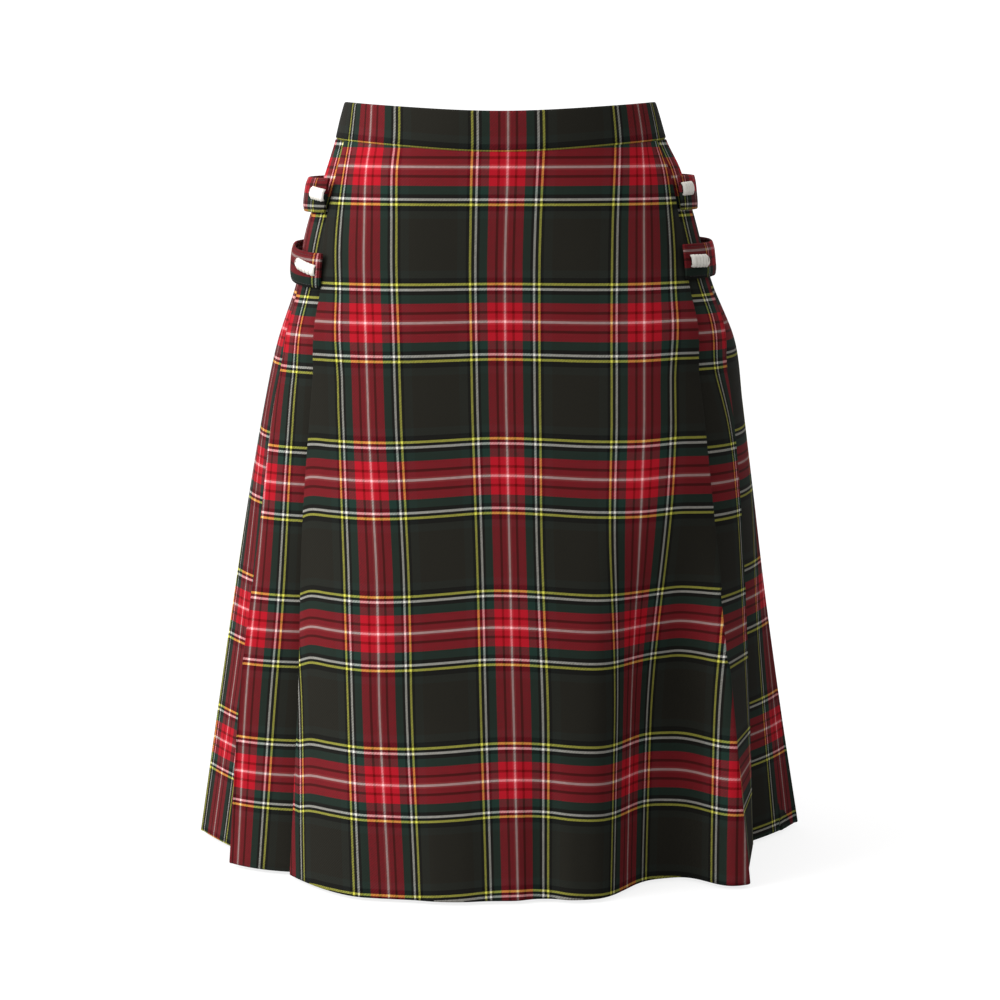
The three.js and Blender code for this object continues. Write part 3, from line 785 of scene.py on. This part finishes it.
# Each strap: height of its middle, how much lower the near part hangs, degrees round from the front
# at its two ends, how far it bows off the hip, and how the check lies on it: the weft at its upper
# edge, and the warp at a number of degrees.
STRAPS = {
    "upper_left": {"side": -1, "z": -70, "drop": -0.5, "start": 65.0, "end": 124, "rise": 3.6,
                   "weft": 2.2, "warp": 22, "warp_at": 72.0},
    "lower_left": {"side": -1, "z": -121.5, "drop": 5.5, "start": 60.2, "end": 121, "rise": 2.9,
                   "weft": -5, "warp": -22, "warp_at": 61.4},
    "upper_right": {"side": 1, "z": -68.5, "drop": -1, "start": 67.4, "end": 124, "rise": 0.8,
                    "weft": 1.5, "warp": 14, "warp_at": 73},
    "lower_right": {"side": 1, "z": -119.5, "drop": 0.5, "start": 61.2, "end": 121, "rise": 2.4,
                    "weft": -4.5, "warp": 22, "warp_at": 72},
}
STITCH_INSET = 2.2
STITCH_SINK = 0.28
STITCH_SPREAD = 0.7
UPRIGHT = 0.62
# The straps take the same tartan made darker, as painted shade.
shaded_strap_cloth = tartan("strap cloth with painted shade", 0.02, 0.72)


def strap_point(s, degrees, across, out):
    """Place on a strap: degrees round from the front, height across it, stand-off. The strap is
    cut straight, so it lies on the hip along its lower edge and stands off at its upper edge."""
    share = np.clip((degrees - s["start"]) / (s["end"] - s["start"]), 0, 1)
    near = 1 - ease(share / NEAR_PART)
    z = s["z"] - s["drop"] * near + across
    arch = s["rise"] * np.sqrt(np.maximum(0, np.sin(math.pi * share)))
    crown = (EDGE_FALL + FALL_WITH_BOW * arch) * np.abs(2 * across / STRAP_WIDTH) ** EDGE_CURVE
    from_stitch = abs(across) - STRAP_WIDTH / 2 + STITCH_INSET
    crown += STITCH_SINK * np.exp(-(from_stitch / STITCH_SPREAD) ** 2)
    off = CLOTH / 2 + SEAM_GAP + STRAP_WALL / 2 + STRAP_LIFT + arch + out - crown
    level = mix(z, s["z"] - STRAP_WIDTH / 2, UPRIGHT)
    plan = around(s["side"] * np.radians(degrees), level, off)
    return np.column_stack([plan, np.broadcast_to(z, degrees.shape)])


def strap_grid(s, width):
    """The middle of a strap's thickness, row by row from its upper edge."""
    degrees = np.linspace(s["start"], s["end"], STRAP_STEPS + 1)
    across = [width * (0.5 - i / STRAP_ROWS) for i in range(STRAP_ROWS + 1)]
    return np.array([strap_point(s, degrees, a, 0) for a in across]), degrees


def cords(name, paths, radius, sides):
    """Round cords along paths, all in one piece."""
    verts, faces = [], []
    for path in paths:
        ahead = unit(np.gradient(path, axis=0))
        away = unit(path * (1, 1, 0))
        aside = unit(np.cross(ahead, away))
        away = np.cross(aside, ahead)
        first = len(verts)
        for point, a, b in zip(path, away, aside):
            for turn in np.linspace(0, 2 * math.pi, sides, endpoint=False):
                verts.append(point + radius * (math.cos(turn) * a + math.sin(turn) * b))
        for i in range(len(path) - 1):
            here, there = first + i * sides, first + (i + 1) * sides
            for k in range(sides):
                n = (k + 1) % sides
                faces.append((here + k, here + n, there + n, there + k))
        faces.append(tuple(range(first + sides - 1, first - 1, -1)))
        faces.append(tuple(range(len(verts) - sides, len(verts))))
    mesh = bpy.data.meshes.new(name)
    mesh.from_pydata((np.array(verts) * 0.001).tolist(), [], faces)
    mesh.shade_smooth()
    piece = bpy.data.objects.new(name, mesh)
    bpy.context.scene.collection.objects.link(piece)
    return piece


def mottled(name, grain, detail, tones):
    """A material that wanders between two tones, each with its place on the noise from 0 to 1."""
    mat = bpy.data.materials.new(name)
    mat.use_nodes = True
    nodes, links = mat.node_tree.nodes, mat.node_tree.links
    where = nodes.new("ShaderNodeTexCoord")
    noise = nodes.new("ShaderNodeTexNoise")
    noise.inputs["Scale"].default_value = grain
    noise.inputs["Detail"].default_value = detail
    links.new(where.outputs["Object"], noise.inputs["Vector"])
    ramp = nodes.new("ShaderNodeValToRGB")
    for stop, (at, tone) in zip(ramp.color_ramp.elements, tones):
        stop.position = at
        stop.color = (*tone, 1)
    links.new(noise.outputs[0], ramp.inputs[0])
    shader = nodes["Principled BSDF"]
    links.new(ramp.outputs[0], shader.inputs["Base Color"])
    return mat, shader, ramp


THREAD_TONES = ((0.0, (0.008, 0.007, 0.007)), (1.0, (0.035, 0.030, 0.030)))
thread, thread_shader, _ = mottled("dark thread", 1500, 2, THREAD_TONES)
thread_shader.inputs["Roughness"].default_value = 0.7

# Stitches are set out in degrees round from the front, and their sizes across are in millimetres.
STITCH_PITCH = 1.25
STITCH_SHARE = 0.68
STITCH_BOW = 0.14
STITCH_LIFT = STRAP_WALL / 2 + 0.02
THREAD_RADIUS = 0.2
FIRST_STITCH = 0.8
LAST_STITCH = 1.6

for key, s in STRAPS.items():
    grid, degrees = strap_grid(s, STRAP_WIDTH - STRAP_WALL)
    run = along(grid[STRAP_ROWS // 2][:, :2])
    u = s["warp"] - (run - np.interp(s["warp_at"], degrees, run))
    cloth = np.empty(grid.shape[:2] + (2,))
    cloth[..., 0] = u[None, :]
    cloth[..., 1] = s["weft"] + np.linspace(0, STRAP_WIDTH, STRAP_ROWS + 1)[:, None]
    if s["side"] < 0:
        grid, cloth = grid[:, ::-1], cloth[:, ::-1]
    strap = sew("shaded_strap_cloth_" + key, grid, cloth, STRAP_WALL)
    strap.data.materials.append(shaded_strap_cloth)
    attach(strap, "root")
    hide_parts("strap_" + key)
    paths = []
    for across in (STRAP_WIDTH / 2 - STITCH_INSET, STITCH_INSET - STRAP_WIDTH / 2):
        for at in np.arange(s["start"] + FIRST_STITCH, s["end"] - LAST_STITCH, STITCH_PITCH):
            spots = np.linspace(at, at + STITCH_PITCH * STITCH_SHARE, 5)
            bow = STITCH_BOW * np.sin(np.linspace(0, math.pi, 5))
            paths.append(strap_point(s, spots, across, STITCH_LIFT + bow))
    stitches = cords("strap_stitches_" + key, paths, THREAD_RADIUS, 6)
    stitches.data.materials.append(thread)
    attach(stitches, "root")

# ---- Buckles ------------------------------------------------------------------------------------
# A small pale plated slide on each strap: a plate pressed into upright ribs that scallop its long
# edges, held by a bent wire bail at its outer end. The metal's colour is made darker in the grooves
# between the ribs, as painted shade.

RIBS = 5
RIB_HIGH = 1.2
PLATE_WALL = 1.4
PLATE_STEPS = 72
PLATE_ROWS = 18

# Each plate: degrees round from the front at its two ends, width, how far it sits above the middle
# of the strap, and how much higher its outer end stands.
PLATES = {
    "upper_left": {"from": 65.0, "to": 71.0, "wide": 8.8, "up": 1.1, "tilt": 2.0},
    "lower_left": {"from": 61.4, "to": 69.6, "wide": 7.8, "up": 2.0, "tilt": 4.0},
    "upper_right": {"from": 67.2, "to": 73.2, "wide": 9.4, "up": 3.2, "tilt": 0.6},
    "lower_right": {"from": 62.4, "to": 69.4, "wide": 9.0, "up": 0.2, "tilt": -0.6},
}
PLATE_OFF = 1.0
EDGE_DROP = 1.0
SCALLOP = 0.12
RIB_ROUND = 0.7
BAIL_INSET = 0.6
BAIL_REACH = 1.9
BAIL_TUCK = 0.4
BAIL_RADIUS = 0.5
# Painted shade: how much darker the metal's colour is made in the grooves between the ribs.
GROOVE_PAINTED_SHADE = 0.4
METAL_TONES = ((0.3, (0.86, 0.82, 0.74)), (0.7, (0.97, 0.94, 0.87)))

plated, plated_shader, plated_ramp = mottled("plated metal", 420, 3, METAL_TONES)
plated_shader.inputs["Metallic"].default_value = 0.35
plated_shader.inputs["Roughness"].default_value = 0.34
plated_shader.inputs["Specular IOR Level"].default_value = 0.6
plated_nodes, plated_links = plated.node_tree.nodes, plated.node_tree.links
# Painted shade in the grooves, read from the plate's cloth coordinates.
groove_at = plated_nodes.new("ShaderNodeUVMap")
groove_at.uv_map = "cloth"
groove = plated_nodes.new("ShaderNodeSeparateXYZ")
plated_links.new(groove_at.outputs["UV"], groove.inputs[0])
painted_groove_shade = plated_nodes.new("ShaderNodeMath")
painted_groove_shade.operation = "MULTIPLY_ADD"
painted_groove_shade.inputs[1].default_value = -GROOVE_PAINTED_SHADE
painted_groove_shade.inputs[2].default_value = 1.0
plated_links.new(groove.outputs[0], painted_groove_shade.inputs[0])
plated_tone_and_painted_shade = plated_nodes.new("ShaderNodeVectorMath")
plated_tone_and_painted_shade.operation = "SCALE"
plated_links.new(plated_ramp.outputs[0], plated_tone_and_painted_shade.inputs[0])
plated_links.new(painted_groove_shade.outputs[0], plated_tone_and_painted_shade.inputs["Scale"])
plated_links.new(plated_tone_and_painted_shade.outputs[0], plated_shader.inputs["Base Color"])

for key, p in PLATES.items():
    s = STRAPS[key]
    lift = STRAP_WALL / 2 + SEAM_GAP + PLATE_OFF
    half = p["wide"] / 2
    degrees = np.linspace(p["from"], p["to"], PLATE_STEPS + 1)
    share = np.linspace(0, 1, PLATE_STEPS + 1)
    rib = np.abs(np.sin(math.pi * RIBS * share)) ** RIB_ROUND
    grid = []
    for i in range(PLATE_ROWS + 1):
        across = 1 - 2 * i / PLATE_ROWS
        row = strap_point(s, degrees, p["up"] + across * half, lift)
        row[:, 2] -= across * half * SCALLOP * (1 - rib) - p["tilt"] * (share - 0.5)
        swell = RIB_HIGH * rib - EDGE_DROP * abs(across) ** 4
        grid.append(row + unit(row * (1, 1, 0)) * swell[:, None])
    grid = np.array(grid)
    # The plate's cloth coordinates carry its painted groove shade: 1 in the grooves, 0 on the ribs.
    painted_shade_of_grooves = np.zeros(grid.shape[:2] + (2,))
    painted_shade_of_grooves[..., 0] = 1000 * (1 - rib)
    if s["side"] < 0:
        grid, painted_shade_of_grooves = grid[:, ::-1], painted_shade_of_grooves[:, ::-1]
    plate = sew("buckle_plate_" + key, grid, painted_shade_of_grooves, PLATE_WALL)
    plate.data.materials.append(plated)
    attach(plate, "root")
    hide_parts("buckle_" + key)
    bail = []
    for turn in np.linspace(0, math.pi, 25):
        at = np.array([p["to"] - BAIL_TUCK + BAIL_REACH * math.sin(turn)])
        bail.append(strap_point(s, at, p["up"] + (half - BAIL_INSET) * math.cos(turn), lift)[0])
    bail = np.array(bail) + (0, 0, p["tilt"] / 2)
    wire = cords("buckle_bail_" + key, [bail], BAIL_RADIUS, 10)
    wire.data.materials.append(plated)
    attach(wire, "root")

# ---- Studio -------------------------------------------------------------------------------------
# A pale floor just under the hem, a white surround that is brighter on the left, and one broad
# light from high on the left. Sizes here are in metres.

FLOOR_DROP = 0.004
FLOOR_HALF = 9
FLOOR_GREY = 0.28
FLOOR_GLOW = 0.81
SURROUND = 0.87
SURROUND_LEAN = -0.45
SURROUND_SEEN = 1.15
LAMP_SIZE = 2.2
LAMP_WATTS = 106
LAMP_PLACE = (-2.7, -1.3, 1.3)
LAMP_AIM = (0, 0, -0.3)
CAMERA_BACK = 2.4
CAMERA_DIP = math.atan(395 / 3000)

floor_z = HEM_Z * 0.001 - FLOOR_DROP
corners = [(x * FLOOR_HALF, y * FLOOR_HALF, floor_z) for x, y in ((-1, -1), (1, -1), (1, 1), (-1, 1))]
floor_mesh = bpy.data.meshes.new("floor")
floor_mesh.from_pydata(corners, [], [(0, 1, 2, 3)])
floor = bpy.data.objects.new("floor", floor_mesh)
bpy.context.scene.collection.objects.link(floor)
floor_paint = bpy.data.materials.new("floor paint")
floor_paint.use_nodes = True
floor_shader = floor_paint.node_tree.nodes["Principled BSDF"]
floor_shader.inputs["Base Color"].default_value = (FLOOR_GREY, FLOOR_GREY, FLOOR_GREY, 1)
floor_shader.inputs["Roughness"].default_value = 0.9
floor_shader.inputs["Specular IOR Level"].default_value = 0.0
floor_shader.inputs["Emission Color"].default_value = (1, 1, 1, 1)
floor_seen = floor_paint.node_tree.nodes.new("ShaderNodeLightPath")
floor_glow = floor_paint.node_tree.nodes.new("ShaderNodeMath")
floor_glow.operation = "MULTIPLY"
floor_glow.inputs[1].default_value = FLOOR_GLOW
floor_paint.node_tree.links.new(floor_seen.outputs["Is Camera Ray"], floor_glow.inputs[0])
floor_paint.node_tree.links.new(floor_glow.outputs[0], floor_shader.inputs["Emission Strength"])
floor_mesh.materials.append(floor_paint)

world = bpy.data.worlds.new("surround")
world.use_nodes = True
bpy.context.scene.world = world
sky = world.node_tree.nodes["Background"]
sky.inputs["Color"].default_value = (1, 1, 1, 1)
sky_nodes, sky_links = world.node_tree.nodes, world.node_tree.links
sky_way = sky_nodes.new("ShaderNodeTexCoord")
sky_split = sky_nodes.new("ShaderNodeSeparateXYZ")
sky_links.new(sky_way.outputs["Generated"], sky_split.inputs[0])
sky_fall = sky_nodes.new("ShaderNodeMath")
sky_fall.operation = "MULTIPLY_ADD"
sky_fall.inputs[1].default_value = SURROUND_LEAN
sky_fall.inputs[2].default_value = SURROUND
sky_links.new(sky_split.outputs[0], sky_fall.inputs[0])
sky_seen = sky_nodes.new("ShaderNodeLightPath")
sky_mix = sky_nodes.new("ShaderNodeMix")
sky_mix.inputs[3].default_value = SURROUND_SEEN
sky_links.new(sky_seen.outputs["Is Camera Ray"], sky_mix.inputs[0])
sky_links.new(sky_fall.outputs[0], sky_mix.inputs[2])
sky_links.new(sky_mix.outputs[0], sky.inputs["Strength"])

lamp_data = bpy.data.lights.new("broad light", "AREA")
lamp_data.shape = "RECTANGLE"
lamp_data.size = LAMP_SIZE
lamp_data.size_y = LAMP_SIZE
lamp_data.energy = LAMP_WATTS
lamp = bpy.data.objects.new("broad light", lamp_data)
bpy.context.scene.collection.objects.link(lamp)
lamp.location = LAMP_PLACE
aim = np.array(LAMP_AIM) - np.array(LAMP_PLACE)
lamp.rotation_euler = (math.acos(-aim[2] / np.linalg.norm(aim)), 0, math.atan2(-aim[0], aim[1]))

camera_data = bpy.data.cameras.new("camera")
camera_data.lens = 108
camera_data.sensor_width = 36
camera_data.clip_end = 50
camera = bpy.data.objects.new("camera", camera_data)
bpy.context.scene.collection.objects.link(camera)
camera.location = (0, -CAMERA_BACK, 0)
camera.rotation_euler = (math.pi / 2 - CAMERA_DIP, 0, 0)
bpy.context.scene.camera = camera
bpy.context.scene.view_settings.view_transform = "Standard"
